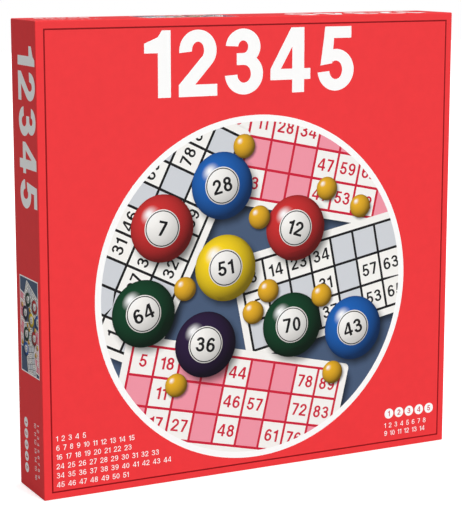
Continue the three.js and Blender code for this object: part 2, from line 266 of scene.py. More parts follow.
def moulded_plastic(name, colour, roughness):
    """Opaque moulded plastic with a fine satin texture and slight flow marks."""
    material, tree, shader = new_material(name, roughness)
    vary_colour(tree, shader, noise_node(tree, MOULD_FLOW, detail=3), colour, MOULD_SHARES)
    texture = noise_node(tree, MOULD_TEXTURE, detail=2)
    low, high = roughness - MOULD_SMOOTHER, roughness + MOULD_ROUGHER
    map_range(tree, texture, shader.inputs["Roughness"], low, high)
    add_bump(tree, shader, texture, strength=0.1, depth=MOULD_RELIEF)
    return material


def worked_metal(name, colour):
    """Drawn and clinched sheet metal, with turned scratches."""
    material, tree, shader = new_material(name, roughness=0.25)
    vary_colour(tree, shader, noise_node(tree, METAL_TARNISH, detail=4), colour, METAL_SHARES)
    scratches = noise_node(tree, METAL_SCRATCHES, detail=2, stretch=SCRATCH_STRETCH)
    map_range(tree, scratches, shader.inputs["Roughness"], low=0.16, high=0.36)
    add_bump(tree, shader, scratches, strength=0.08, depth=METAL_RELIEF)
    shader.inputs["Metallic"].default_value = 1
    return material


LID_PAPER = printed_paper("lid_paper", LID_RED)
BASE_PAPER = printed_paper("base_paper", BASE_RED)
CHIPBOARD = raw_board("chipboard", BOARD_GREY)
INSERT_BOARD = raw_board("insert_board", INSERT_GREY, fleck=0.08)
CARD_STOCK = printed_paper("card_stock", CARD_WHITE, mottle=0.012, gloss=0.08)
LEAFLET_PAPER = printed_paper("leaflet_paper", LEAFLET_WHITE, mottle=0.02, roughness=0.7, gloss=0)
MARKER_PLASTIC = clear_plastic("marker_plastic", MARKER_YELLOW)
ARROW_PLASTIC = moulded_plastic("arrow_plastic", ARROW_BLUE, roughness=0.32)
WASHER_PLASTIC = moulded_plastic("washer_plastic", WASHER_WHITE, roughness=0.45)
WASHER_FIBRE = raw_board("washer_fibre", FIBRE_BROWN, fleck=0.2)
EYELET_METAL = worked_metal("eyelet_metal", BRASS)

INK_COLOURS = {
    "white": (253, 253, 252),
    "keyline": (138, 6, 14),
    "card": CARD_WHITE,
    "red": (204, 30, 58),
    "rose": (240, 150, 166),
    "grey": (207, 210, 215),
    "black": (24, 23, 25),
    "slate": (72, 90, 118),
    "amber": (232, 176, 38),
    "wheel_red": (205, 48, 48),
    "blue": (28, 98, 182),
    "yellow": (250, 214, 30),
    "purple": (44, 26, 62),
    "green": (14, 66, 40),
}


@functools.cache
def ink_material(name, shaded):
    """The finish of an ink, made when it is first used."""
    label = f"ink_{name}_shaded" if shaded else f"ink_{name}"
    return printed_ink(label, INK_COLOURS[name], shaded)


FINISHES = [
    (CHIPBOARD, ["lid_board", "base_board"]),
    (INSERT_BOARD, ["platform_insert"]),
    (CARD_STOCK, [*bodies["left_cards"], *bodies["right_cards"], "tally_card", "spinner_card"]),
    (LEAFLET_PAPER, ["rules_leaflet"]),
    (ARROW_PLASTIC, ["spinner_arrow"]),
    (WASHER_PLASTIC, ["arrow_washer"]),
    (WASHER_FIBRE, ["back_washer"]),
    (EYELET_METAL, ["spinner_eyelet"]),
]


def finish_nodes():
    for material, names in FINISHES:
        for name in names:
            slots = frame["nodes"][name].data.materials
            slots.clear()
            slots.append(material)


# Objects


def add_object(name, data):
    thing = bpy.data.objects.new(name, data)
    scene.collection.objects.link(thing)
    return thing


def new_object(name, points, faces, materials, body, smooth=False, slots=None, tones=None):
    mesh = bpy.data.meshes.new(name)
    mesh.from_pydata(points, [], faces)
    for material in materials:
        mesh.materials.append(material)
    if slots:
        mesh.polygons.foreach_set("material_index", slots)
    if tones:
        mesh.attributes.new(TONE_NAME, "FLOAT", "CORNER").data.foreach_set("value", tones)
    mesh.polygons.foreach_set("use_smooth", [smooth] * len(mesh.polygons))
    mesh.update()
    piece = add_object(name, mesh)
    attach(piece, body)
    return piece


def ring_quads(rings):
    """The quads between each ring of point numbers and the next, all the way round."""
    quads = []
    for lower, upper in zip(rings, rings[1:]):
        for i in range(len(lower)):
            after = (i + 1) % len(lower)
            quads.append([lower[i], lower[after], upper[after], upper[i]])
    return quads


# Paper wraps: one sheet over the panel and the walls, round the rim and back inside

EDGE_RADIUS = 0.5 * MM
CORNER_RADIUS = 0.6 * MM
INNER_CORNER_RADIUS = 0.25 * MM
EDGE_STEPS = 4
CORNER_STEPS = 4
SHEET_SHARE = 0.8
WRAP_SHARP_ANGLE = math.radians(40)


def rounded_loop(half_width, half_height, radius):
    """Points of a rectangle with round corners, counter-clockwise."""
    points = []
    corners = [(1, 1, 0), (-1, 1, 1), (-1, -1, 2), (1, -1, 3)]
    for side, end, quarter in corners:
        for step in range(CORNER_STEPS + 1):
            angle = math.pi / 2 * (quarter + step / CORNER_STEPS)
            across = side * (half_width - radius) + radius * math.cos(angle)
            along = end * (half_height - radius) + radius * math.sin(angle)
            points.append((across, along))
    return points


def wrap_sections(depth):
    """Inset and depth of each ring of the wrap, from the panel's edge over the rim to the hem's end."""
    wall = BOARD + 2 * PAPER
    rim = wall / 2
    sections = []
    for step in range(EDGE_STEPS + 1):
        angle = math.pi / 2 * step / EDGE_STEPS
        inset = EDGE_RADIUS * (1 - math.sin(angle))
        sections.append((inset, EDGE_RADIUS * (1 - math.cos(angle))))
    for step in range(2 * EDGE_STEPS + 1):
        angle = math.pi * step / (2 * EDGE_STEPS)
        sections.append((rim * (1 - math.cos(angle)), depth - rim * (1 - math.sin(angle)) / 2))
    sections.append((wall, depth - TURN_IN))
    return sections


def make_wrap(name, node, body, material, panel_y, rim_y):
    low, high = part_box(node)
    centre = (low + high) / 2
    half_width, half_height = (high.x - low.x) / 2, (high.z - low.z) / 2
    toward = 1 if rim_y > panel_y else -1
    points, rings = [], []
    sections = wrap_sections(abs(rim_y - panel_y))
    for inset, reach in sections:
        share = inset / sections[-1][0]
        radius = CORNER_RADIUS + (INNER_CORNER_RADIUS - CORNER_RADIUS) * share
        loop = rounded_loop(half_width - inset, half_height - inset, radius)
        rings.append(range(len(points), len(points) + len(loop)))
        points += [(centre.x + u, panel_y + toward * reach, centre.z + v) for u, v in loop]
    faces = [*ring_quads(rings), list(rings[0])[::-1]]
    if toward > 0:
        faces = [face[::-1] for face in faces]
    wrap = new_object(name, points, faces, [material], body, smooth=True)
    solid = wrap.modifiers.new("paper", "SOLIDIFY")
    solid.thickness = PAPER * SHEET_SHARE
    solid.offset = -1
    wrap.data.set_sharp_from_angle(angle=WRAP_SHARP_ANGLE)
    wrap.modifiers.new("flat faces", "WEIGHTED_NORMAL").keep_sharp = True
    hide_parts(node)


# Numerals one unit high: a width, arcs (middle, outer radii, first and last degree) and convex blocks

NUMERAL_SHARES = {
    "0": ((0.62, 0), [((0.31, 0.5), (0.31, 0.5), 0, 360)], []),
    "1": ((0.22, 1), [], [
        [(0.22, 0), (0.22, 0, 1, 0), (0.22, 1, 1, 0), (0.29, 1), (0.22, 0.9)],
        [(0, 0.81, 0, -0.8), (0.22, 0.81, 0, -0.8), (0.22, 0.9), (0, 0.81)],
    ]),
    "2": ((0.64, 0), [((0.32, 0.69), (0.31, 0.31), -40, 186)], [
        [(0, 0), (0.64, 0), (0.64, 0, 0, 1), (0, 0, 0, 1)],
        [(0, 0, 0, 1), (0, 0, 1.3, 1), (0.557, 0.491), (0.557, 0.491, -0.766, 0.643)],
    ]),
    "3": ((0.65, 0), [
        ((0.31, 0.77, 0, -0.25), (0.295, 0.23, 0, 0.25), -90, 176),
        ((0.325, 0.27, 0, 0.25), (0.325, 0.27, 0, 0.25), -176, 90),
    ], [
        [(0.2, 0.54, 0, -0.5), (0.325, 0.54, 0, -0.5), (0.325, 0.54, 0, 0.5), (0.2, 0.54, 0, 0.5)],
    ]),
    "4": ((0.7, 0), [], [
        [(0.59, 0, -1, 0), (0.59, 0), (0.59, 1), (0.59, 1, -1, 0)],
        [(0, 0.2), (0.7, 0.2), (0.7, 0.2, 0, 0.94), (0, 0.2, 0, 0.94)],
        [
            (0, 0.2, 0, 0.94), (0, 0.2, 0.86, 0.94), (0.59, 1.1, -1, -2.17),
            (0.59, 1, -1, 0), (0.57, 1, -1, 0),
        ],
    ]),
    "5": ((0.65, 0), [((0.325, 0.325), (0.325, 0.325), -174, 118)], [
        [(0.11, 1, 0, -1), (0.6, 1, 0, -1), (0.6, 1), (0.13, 1)],
        [(0.05, 0.4), (0.05, 0.43, 1, 0), (0.11, 1, 0.86, -1), (0.11, 1, 0, -1)],
    ]),
    "6": ((0.65, 0), [
        ((0.325, 0.325), (0.325, 0.325), 0, 360),
        ((0.345, 0.5), (0.345, 0.5), 42, 200),
    ], []),
    "7": ((0.6, 0), [], [
        [(0, 1, 0, -1), (0.6, 1, 0, -1), (0.6, 1), (0, 1)],
        [(0.13, 0), (0.13, 0, 1.05, 0), (0.6, 1, 0, -1), (0.6, 1, -1.1, -1)],
    ]),
    "8": ((0.64, 0), [
        ((0.32, 0.77, 0, -0.25), (0.29, 0.23, 0, 0.25), 0, 360),
        ((0.32, 0.27, 0, 0.25), (0.32, 0.27, 0, 0.25), 0, 360),
    ], []),
    "9": ((0.65, 0), [
        ((0.325, 0.675), (0.325, 0.325), 0, 360),
        ((0.305, 0.5), (0.345, 0.5), -138, 20),
    ], []),
    "-": ((0.3, 0), [], [[(0, 0.5, 0, -0.5), (0.3, 0.5, 0, -0.5), (0.3, 0.5, 0, 0.5), (0, 0.5, 0, 0.5)]]),
    " ": ((0.42, 0), [], []),
}
NUMERAL_GAP_SHARE = 0.14
LEVEL_SHARE = 0.857

# Styles of numerals: an upright stroke's width as a share of the height, and steps to a turn
TITLE_STYLE = (0.21, 44)
LARGE_STYLE = (0.19, 32)
BOLD_STYLE = (0.18, 16)
TEXT_STYLE = (0.13, 10)


def numeral_spot(place, strokes):
    """A place in a numeral: its shares, and how many upright and level strokes it lies beyond them."""
    across, along, *beyond = place
    uprights, levels = beyond or (0, 0)
    return across + uprights * strokes[0], along + levels * strokes[1]


def arc_points(centre, radii, start, end, steps):
    angles = [math.radians(start + (end - start) * i / steps) for i in range(steps + 1)]
    return [(centre[0] + radii[0] * math.cos(a), centre[1] + radii[1] * math.sin(a)) for a in angles]


def strip(inside, outside, closed=False):
    """The quads between two outlines with as many points each."""
    quads = []
    for i in range(len(inside) if closed else len(inside) - 1):
        after = (i + 1) % len(inside)
        quads.append([inside[i], outside[i], outside[after], inside[after]])
    return quads


@functools.cache
def numeral(character, style):
    """Convex polygons of a numeral one unit high, with its left edge at zero, and its width."""
    weight, turn_steps = style
    strokes = (weight, weight * LEVEL_SHARE)
    (width, uprights), arcs, blocks = NUMERAL_SHARES[character]
    polygons = [[numeral_spot(place, strokes) for place in block] for block in blocks]
    for middle, radii, start, end in arcs:
        centre, outer = numeral_spot(middle, strokes), numeral_spot(radii, strokes)
        inner = (outer[0] - strokes[0], outer[1] - strokes[1])
        steps = math.ceil(turn_steps * (end - start) / 360)
        polygons += strip(*(arc_points(centre, each, start, end, steps) for each in (inner, outer)))
    return polygons, width + uprights * weight


def numbers_width(text, style):
    """Width of a row of numerals one unit high."""
    widths = [numeral(character, style)[1] for character in text]
    return sum(widths) + NUMERAL_GAP_SHARE * (len(widths) - 1)


# Places and outlines in a plane


def cell_middle(column, row, pitch, left=0, top=0):
    """The middle of a grid's cell, from the grid's top left corner."""
    return left + pitch[0] * (column + 1 / 2), top - pitch[1] * (row + 1 / 2)


def circle_points(radius, steps, start=0, end=2 * math.pi):
    """Points of a circle, or of an arc with both its ends."""
    turn = (end - start) / steps
    count = steps if end - start >= 2 * math.pi else steps + 1
    angles = [start + turn * i for i in range(count)]
    return [(radius * math.cos(angle), radius * math.sin(angle)) for angle in angles]


def clip_convex(polygon, outline):
    """The part of a convex polygon inside a convex counter-clockwise outline."""
    for i, start in enumerate(outline):
        end = outline[(i + 1) % len(outline)]
        edge = (end[0] - start[0], end[1] - start[1])
        sides = [edge[0] * (p[1] - start[1]) - edge[1] * (p[0] - start[0]) for p in polygon]
        if min(sides) >= 0:
            continue
        if max(sides) <= 0:
            return []
        kept = []
        for j, point in enumerate(polygon):
            after = (j + 1) % len(polygon)
            if sides[j] >= 0:
                kept.append(point)
            if sides[j] * sides[after] < 0:
                share = sides[j] / (sides[j] - sides[after])
                kept.append(tuple(a + share * (b - a) for a, b in zip(point, polygon[after])))
        polygon = kept
    return polygon


def signed_area(polygon):
    pairs = zip(polygon, polygon[1:] + polygon[:1])
    return sum(a[0] * b[1] - b[0] * a[1] for a, b in pairs) / 2


def rounded_distance(u, v, half, corner):
    """Distance out from the edge of a rectangle with round corners, under zero inside it."""
    across, along = abs(u) - half[0] + corner, abs(v) - half[1] + corner
    return math.hypot(max(across, 0), max(along, 0)) + min(max(across, along), 0) - corner


# Print: flat ink laid over a plane, as faces with an ink, a layer, a tint and a polygon

PRINT_LIFT = 0.02 * MM
LEAST_AREA = (0.01 * MM) ** 2
WELD_IN_MM = 1e-4
INSIDE_TRIANGLES = 1
SHADE = "shade"
SHADOW_STEPS = 5
SHADOW_DEPTH = 0.8
DISC_STEPS = 48
SMALL_STEPS = 24
SECTOR_STEPS = 2


def showing(faces, over):
    """The ink that shows where these faces lie over each other, its tint and the shades on it."""
    solid = [face for face in over if faces[face][0] != SHADE]
    if not solid:
        return None
    top = max(solid, key=lambda face: (faces[face][1], face))
    ink, layer, tint, _ = faces[top]
    shades = [faces[face][2] for face in over if faces[face][0] == SHADE and faces[face][1] > layer]
    return ink, tint, list(dict.fromkeys(shades))


def tone_at(point, tint, shades):
    """Where a spot of ink lies between black, its own colour and white."""
    tone = PLAIN_TONE * (1 + tint(point)) if tint else PLAIN_TONE
    for shade in shades:
        tone *= 1 - shade(point)
    return tone


def flatten(faces):
    """Overlapping faces as triangles side by side, with what each shows."""
    points, polygons = [], []
    for *_, polygon in faces:
        start = len(points)
        points += [Vector(point) / MM for point in polygon]
        polygons.append(list(range(start, len(points))))
    corners, _, triangles, _, _, sources = delaunay_2d_cdt(
        points, [], polygons, INSIDE_TRIANGLES, WELD_IN_MM
    )
    seen = [(showing(faces, over), triangle) for triangle, over in zip(triangles, sources)]
    return [tuple(corner * MM) for corner in corners], [pair for pair in seen if pair[0]]


class Plate:
    """A printed plane: its inked faces in space, kept as one piece."""

    def __init__(self, name, body, slot, origin, right, up):
        self.name, self.body, self.slot = name, body, slot
        self.origin, self.right, self.up = Vector(origin), Vector(right), Vector(up)
        self.normal = self.right.cross(self.up)
        self.faces = []

    def pen(self, clip=None):
        return Pen(self, Matrix.Identity(3), 1, clip)

    def build(self):
        corners, flat = flatten(self.faces)
        base = self.origin + self.normal * PRINT_LIFT
        points = [base + self.right * u + self.up * v for u, v in corners]
        looks, tones = [], []
        for (ink, tint, shades), triangle in flat:
            own = [tone_at(corners[corner], tint, shades) for corner in triangle]
            looks.append((ink, own != [PLAIN_TONE] * len(own)))
            tones += own
        used = sorted(set(looks))
        materials = [ink_material(*look) for look in used]
        places = {look: number for number, look in enumerate(used)}
        slots = [places[look] for look in looks]
        faces = [triangle for _, triangle in flat]
        new_object(self.name, points, faces, materials, self.body, slots=slots, tones=tones)


def shadow_depth(share):
    """How much a shadow darkens at a distance from its outline, as a share of its spread."""
    within = min(max(1 / 2 - share, 0), 1)
    return SHADOW_DEPTH * within * within * (3 - 2 * within)


class Pen:
    """Draws on a plate through a placement and a layer, inside a convex outline if it has one."""

    def __init__(self, plate, placement, layer, clip):
        self.plate, self.placement, self.layer, self.clip = plate, placement, layer, clip

    def at(self, u, v, turn=0, scale=1, layers=0):
        cos, sin = math.cos(turn) * scale, math.sin(turn) * scale
        move = Matrix(((cos, -sin, u), (sin, cos, v), (0, 0, 1)))
        return Pen(self.plate, self.placement @ move, self.layer + layers, self.clip)

    def on_plate(self, function):
        """A function of this pen's places, as one of places on the plate."""
        back = self.placement.inverted()
        return lambda point: function(*(back @ Vector((*point, 1)))[:2])

    def polygon(self, ink, points, layers=0, tint=None):
        """A convex, counter-clockwise polygon."""
        placed = [tuple((self.placement @ Vector((u, v, 1)))[:2]) for u, v in points]
        if self.clip:
            placed = clip_convex(placed, self.clip)
        if len(placed) > 2 and signed_area(placed) > LEAST_AREA:
            self.plate.faces.append((ink, self.layer + layers, tint, placed))

    def rectangle(self, ink, low, high, layers=0):
        self.polygon(ink, [low, (high[0], low[1]), high, (low[0], high[1])], layers)

    def panel(self, ink, width, height, layers=0):
        """A rectangle centred on the pen's place."""
        self.rectangle(ink, (-width / 2, -height / 2), (width / 2, height / 2), layers)

    def disc(self, ink, radius, steps=DISC_STEPS, layers=0, tint=None):
        self.polygon(ink, circle_points(radius, steps), layers, tint)

    def ring(self, ink, inner, outer, steps=DISC_STEPS, layers=0):
        for quad in strip(circle_points(inner, steps), circle_points(outer, steps), closed=True):
            self.polygon(ink, quad, layers)

    def sector(self, ink, inner, outer, start, end, layers=0):
        for quad in strip(*(circle_points(each, SECTOR_STEPS, start, end) for each in (inner, outer))):
            self.polygon(ink, quad, layers)

    def shadow(self, half, corner, spread):
        """The soft shadow of a rectangle with round corners."""
        shade = self.on_plate(lambda u, v: shadow_depth(rounded_distance(u, v, half, corner) / spread))
        for step in range(SHADOW_STEPS):
            grow = spread * (1 / 2 - step / (SHADOW_STEPS - 1))
            self.polygon(SHADE, rounded_loop(half[0] + grow, half[1] + grow, corner + grow), tint=shade)

    def number(self, ink, text, height, style=BOLD_STYLE, layers=0, middle=True):
        """Numerals centred on the pen's place, or with their left end there."""
        left = -numbers_width(text, style) / 2 if middle else 0
        for character in text:
            polygons, width = numeral(character, style)
            for polygon in polygons:
                self.polygon(ink, [((x + left) * height, (y - 1 / 2) * height) for x, y in polygon], layers)
            left += width + NUMERAL_GAP_SHARE


# Bingo cards

COLUMN_SPAN = 15
COLUMNS = 5
ROWS = 5
CARD_MARGIN = 7 * MM
GRID_LINE = 1.1 * MM
HEADER_HEIGHT = 16 * MM
HEADER_GAP = 3 * MM
HEADER_NUMBER_SHARE = 0.2
CELL_NUMBER_SHARE = 0.42
FREE_RING_SHARE = 0.32
FREE_MIDDLE_SHARE = 0.24


def card_numbers(seed):
    """A bingo card's numbers by column, five from each fifteen."""
    draw = random.Random(seed)
    return [
        draw.sample(range(1 + COLUMN_SPAN * column, 1 + COLUMN_SPAN * (column + 1)), ROWS)
        for column in range(COLUMNS)
    ]


def draw_number_card(pen, size, seed):
    """A grid of five by five numbers under a plain band, the middle place free."""
    half_width, half_height = size.x / 2 - CARD_MARGIN, size.z / 2 - CARD_MARGIN
    top = half_height - HEADER_HEIGHT
    pen.rectangle("red", (-half_width, top), (half_width, half_height))
    numbers = card_numbers(seed)
    cell = 2 * half_width / COLUMNS
    for column in range(COLUMNS):
        span = f"{1 + COLUMN_SPAN * column}-{COLUMN_SPAN * (column + 1)}"
        centre = -half_width + cell * (column + 1 / 2)
        header = pen.at(centre, top + HEADER_HEIGHT / 2, layers=1)
        header.number("card", span, HEADER_HEIGHT * HEADER_NUMBER_SHARE)
    grid_top = top - HEADER_GAP
    tall = (grid_top + half_height) / ROWS
    pen.rectangle("red", (-half_width, -half_height), (half_width, grid_top))
    for column in range(COLUMNS):
        for row in range(ROWS):
            place = pen.at(*cell_middle(column, row, (cell, tall), -half_width, grid_top), layers=1)
            place.panel("card", cell - GRID_LINE, tall - GRID_LINE)
            if row == ROWS // 2 and column == COLUMNS // 2:
                place.disc("red", cell * FREE_RING_SHARE, SMALL_STEPS, 1)
                place.disc("card", cell * FREE_MIDDLE_SHARE, SMALL_STEPS, 2)
            else:
                place.number("red", str(numbers[column][row]), tall * CELL_NUMBER_SHARE, layers=1)


# Tally card

TALLY_ROWS = COLUMN_SPAN
TALLY_MARGIN = 6 * MM
TALLY_LINE = 0.5 * MM
TALLY_NUMBER_SHARE = 0.5


def draw_tally(pen, size):
    """A plain black table of numbers in rows of five, counting up."""
    half_width, half_height = size.x / 2 - TALLY_MARGIN, size.z / 2 - TALLY_MARGIN
    cell, tall = 2 * half_width / COLUMNS, 2 * half_height / TALLY_ROWS
    for column in range(COLUMNS + 1):
        u = -half_width + cell * column
        pen.rectangle("black", (u - TALLY_LINE / 2, -half_height), (u + TALLY_LINE / 2, half_height))
    for row in range(TALLY_ROWS + 1):
        v = half_height - tall * row
        pen.rectangle("black", (-half_width, v - TALLY_LINE / 2), (half_width, v + TALLY_LINE / 2), 1)
    for row in range(TALLY_ROWS):
        for column in range(COLUMNS):
            place = pen.at(*cell_middle(column, row, (cell, tall), -half_width, half_height), layers=2)
            place.number("black", str(1 + row * COLUMNS + column), tall * TALLY_NUMBER_SHARE)


# Spinner card: a wheel of numbered sectors, and a numbered ring in each corner of the card

WHEEL_SHARE = 0.945
WHEEL_SECTORS = COLUMN_SPAN * COLUMNS
WHEEL_FACE_SHARE = 0.992
WHEEL_OUTER_SHARE = 0.88
WHEEL_INNER_SHARE = 0.54
WHEEL_HUB_SHARE = 0.165
WHEEL_LINE_SHARE = 0.004
WHEEL_STEPS = 96
SECTOR_SHARES = (0.04, 0.96)
RIM_NUMBER_SHARE = 0.3
MIDDLE_SHARE = 0.97
MIDDLE_STEPS = 72
HUB_EDGE_SHARE = 1.03
HUB_NUMBERS = 10
SPOT_SHARE = 0.27
SPOT_MIDDLE_SHARE = 0.8
SPOT_NUMBER_SHARE = 0.78
WHEEL_INKS = ["wheel_red", "blue", "yellow", "purple", "green"]
CORNERS = [(-1, 1), (1, 1), (1, -1), (-1, -1)]
CORNER_DISC = 15 * MM
CORNER_DISC_GAP = 2 * MM
CORNER_RING_SHARE = 0.7
CORNER_NUMBER_SHARE = 0.75


def turned(pen, away, angle, layers):
    """A pen at this distance and angle, its top outward."""
    return pen.at(away * math.cos(angle), away * math.sin(angle), angle - math.pi / 2, layers=layers)


def draw_sectors(pen, radius, inner, outer):
    """Coloured sectors with a rim of numbers between fine lines."""
    turn = 2 * math.pi / WHEEL_SECTORS
    line = radius * WHEEL_LINE_SHARE / 2
    for i in range(WHEEL_SECTORS):
        start = turn * i
        first, last = (start + turn * share for share in SECTOR_SHARES)
        pen.sector(WHEEL_INKS[i % len(WHEEL_INKS)], inner, outer, first, last, layers=2)
        place = turned(pen, (outer + radius) / 2, start + turn / 2, layers=2)
        place.number("black", str(i + 1), (radius - outer) * RIM_NUMBER_SHARE)
        pen.at(0, 0, start, layers=2).rectangle("black", (outer, -line), (radius, line))


def draw_wheel_middle(pen, inner, hub):
    """Numbered spots round a white hub."""
    pen.disc("slate", inner * MIDDLE_SHARE, MIDDLE_STEPS, 2)
    spot = (inner - hub) * SPOT_SHARE
    for i in range(HUB_NUMBERS):
        angle = math.pi / 2 - 2 * math.pi / HUB_NUMBERS * i
        place = turned(pen, (inner + hub) / 2, angle, layers=3)
        place.disc(WHEEL_INKS[i % len(WHEEL_INKS)], spot)
        place.disc("card", spot * SPOT_MIDDLE_SHARE, layers=1)
        place.number("black", str(i + 1), spot * SPOT_NUMBER_SHARE, LARGE_STYLE, 2)
    pen.disc("black", hub * HUB_EDGE_SHARE, layers=3)
    pen.disc("card", hub, layers=4)


def draw_spinner(pen, size):
    """A plain wheel of coloured sectors, and four numbered rings round it."""
    radius = size.x / 2 * WHEEL_SHARE
    pen.disc("black", radius, WHEEL_STEPS)
    pen.disc("card", radius * WHEEL_FACE_SHARE, WHEEL_STEPS, 1)
    inner = radius * WHEEL_INNER_SHARE
    draw_sectors(pen, radius, inner, radius * WHEEL_OUTER_SHARE)
    draw_wheel_middle(pen, inner, radius * WHEEL_HUB_SHARE)
    reach = (radius + CORNER_DISC + CORNER_DISC_GAP) / math.sqrt(2)
    for i, (side, end) in enumerate(CORNERS):
        corner = pen.at(side * reach, end * reach)
        corner.ring(WHEEL_INKS[i], CORNER_DISC * CORNER_RING_SHARE, CORNER_DISC)
        corner.number("black", str(i + 1), CORNER_DISC * CORNER_NUMBER_SHARE, LARGE_STYLE)


# Print on the cards and the leaflet inside

CARD_SEEDS = {"left": 3, "right": 8}
LEAFLET_MARGIN = 9 * MM
LEAFLET_PITCH = (8 * MM, 5 * MM)
LEAFLET_NUMBER = 2.2 * MM


def print_card(node, body, slot, draw, *details):
    """Draws on a card's front face, from its middle."""
    low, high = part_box(node)
    middle = ((low.x + high.x) / 2, low.y, (low.z + high.z) / 2)
    plate = Plate(f"{node}_print", body, slot, middle, X, Z)
    draw(plate.pen(), high - low, *details)
    plate.build()


def print_cards():
    for side, seed in CARD_SEEDS.items():
        print_card(f"bingo_card_{side}_7", f"{side}_cards", "card_board", draw_number_card, seed)
    print_card("tally_card", "tally", "card_board", draw_tally)
    print_card("spinner_card", "spinner", "spinner_board", draw_spinner)


def print_leaflet():
    """Rows of small plain numbers on the leaflet's front leaf."""
    low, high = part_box("rules_leaflet")
    corner = (low.x + LEAFLET_MARGIN, low.y, high.z - LEAFLET_MARGIN)
    plate = Plate("rules_leaflet_print", "leaflet", "leaflet_paper", corner, X, Z)
    columns = int((high.x - low.x - 2 * LEAFLET_MARGIN) / LEAFLET_PITCH[0])
    rows = int((high.z - low.z - 2 * LEAFLET_MARGIN) / LEAFLET_PITCH[1])
    for row in range(rows):
        for column in range(columns):
            place = plate.pen().at(*cell_middle(column, row, LEAFLET_PITCH))
            place.number("black", str(1 + row * columns + column), LEAFLET_NUMBER, TEXT_STYLE)
    plate.build()


# The picture, measured from its middle: numbered balls on tickets over slate cloth

PICTURE_RADIUS = 97.9 * MM
PICTURE_STEPS = 144
MOTIF_LAYERS = 5
SHADOW_SPREAD = 7 * MM
SHADOW_MOVE = (2.2 * MM, -3 * MM)
TICKET_COLUMNS = 9
TICKET_ROWS = 3
TICKET_BLANKS = 4
TICKET_SPAN = 10
TICKET_CELL = (15.5 * MM, 17.5 * MM)
TICKET_LINE = 1.5 * MM
TICKET_EDGE = 5 * MM
TICKET_CORNER = 3 * MM
TICKET_PLACE = (TICKET_CELL[0] - TICKET_LINE, TICKET_CELL[1] - TICKET_LINE)
TICKET_SIZE = (TICKET_COLUMNS * TICKET_CELL[0], TICKET_ROWS * TICKET_CELL[1])
TICKET_HALF = (TICKET_SIZE[0] / 2 + TICKET_EDGE, TICKET_SIZE[1] / 2 + TICKET_EDGE)

# Each ticket's middle, turn in degrees, ink, tint of its free places and seed
TICKETS = [
    ((46 * MM, 70 * MM), -12, "red", "rose", 5),
    ((-64 * MM, 38 * MM), 64, "black", "grey", 9),
    ((62 * MM, 2 * MM), 11, "black", "grey", 13),
    ((-16 * MM, -66 * MM), -13, "red", "rose", 21),
]

# A ball: its spot, line and number as shares of its radius, and the light on it
BALL_STEPS = 10
BALL_SPOT_SHARE = 0.56
BALL_LINE_SHARES = (0.5, 0.53)
BALL_NUMBER_SHARE = 0.44
BALL_LIGHT = Vector((-0.35, 0.4, 0.85)).normalized()
BALL_GLOSS = Vector((-0.42, 0.45, 0.79)).normalized()
BALL_DARKEST = 0.16
GLOSS_POWER = 50

# Each ball's middle, its number's turn in degrees, its ink and its number, and each bead's middle
BALL_RADIUS = 19.5 * MM
BALLS = [
    ((-22 * MM, 62 * MM), 12, "blue", 28),
    ((-60 * MM, 40 * MM), -14, "wheel_red", 7),
    ((-20 * MM, 14 * MM), 8, "yellow", 51),
    ((-72 * MM, -8 * MM), 20, "green", 64),
    ((-33 * MM, -30 * MM), -9, "purple", 36),
    ((26 * MM, 34 * MM), -18, "wheel_red", 12),
    ((66 * MM, -30 * MM), 15, "blue", 43),
    ((24 * MM, -24 * MM), 4, "green", 70),
]
BEAD_RADIUS = 7 * MM
BEADS = [
    (2 * MM, 42 * MM), (8 * MM, -2 * MM), (-2 * MM, -14 * MM), (44 * MM, -8 * MM), (47 * MM, 56 * MM),
    (-46 * MM, 4 * MM), (52 * MM, -56 * MM), (-8 * MM, 84 * MM), (70 * MM, 44 * MM), (-52 * MM, -52 * MM),
]


def ticket_row(draw):
    """Five numbers of a ticket's row, and blanks in the other columns."""
    blanks = draw.sample(range(TICKET_COLUMNS), TICKET_BLANKS)
    return [
        None if column in blanks else draw.randint(TICKET_SPAN * column + 1, TICKET_SPAN * (column + 1) - 1)
        for column in range(TICKET_COLUMNS)
    ]


def draw_ticket(pen, ink, blank, seed):
    """A ticket of plain numbers: its free places are tinted."""
    pen.polygon("card", rounded_loop(*TICKET_HALF, TICKET_CORNER))
    width, height = TICKET_SIZE
    pen.panel(ink, width + TICKET_LINE, height + TICKET_LINE, layers=1)
    draw = random.Random(seed)
    for row in range(TICKET_ROWS):
        for column, value in enumerate(ticket_row(draw)):
            cell = pen.at(*cell_middle(column, row, TICKET_CELL, -width / 2, height / 2), layers=2)
            cell.panel(blank if value is None else "card", *TICKET_PLACE)
            if value is not None:
                cell.number(ink, str(value), TICKET_CELL[1] * CELL_NUMBER_SHARE, layers=1)


def ball_tint(u, v):
    """Tint of a ball of radius one: lit from its upper left, with a gloss there."""
    normal = Vector((u, v, math.sqrt(max(1 - u * u - v * v, 0))))
    lit = BALL_DARKEST + (1 - BALL_DARKEST) * max(normal.dot(BALL_LIGHT), 0)
    gloss = max(normal.dot(BALL_GLOSS), 0) ** GLOSS_POWER
    return min(lit + gloss - 1, 1)


def draw_ball(pen, ink, degrees, value):
    """A ball of radius one, with a number in a white spot if it has one."""
    tint = pen.on_plate(ball_tint)
    for step in range(BALL_STEPS):
        share = step / BALL_STEPS
        pen.at(BALL_GLOSS.x * share, BALL_GLOSS.y * share).disc(ink, 1 - share, tint=tint)
    if value is None:
        return
    pen.disc("card", BALL_SPOT_SHARE, layers=1, tint=tint)
    pen.ring("black", *BALL_LINE_SHARES, layers=2)
    pen.at(0, 0, math.radians(degrees)).number("black", str(value), BALL_NUMBER_SHARE, LARGE_STYLE, 2)


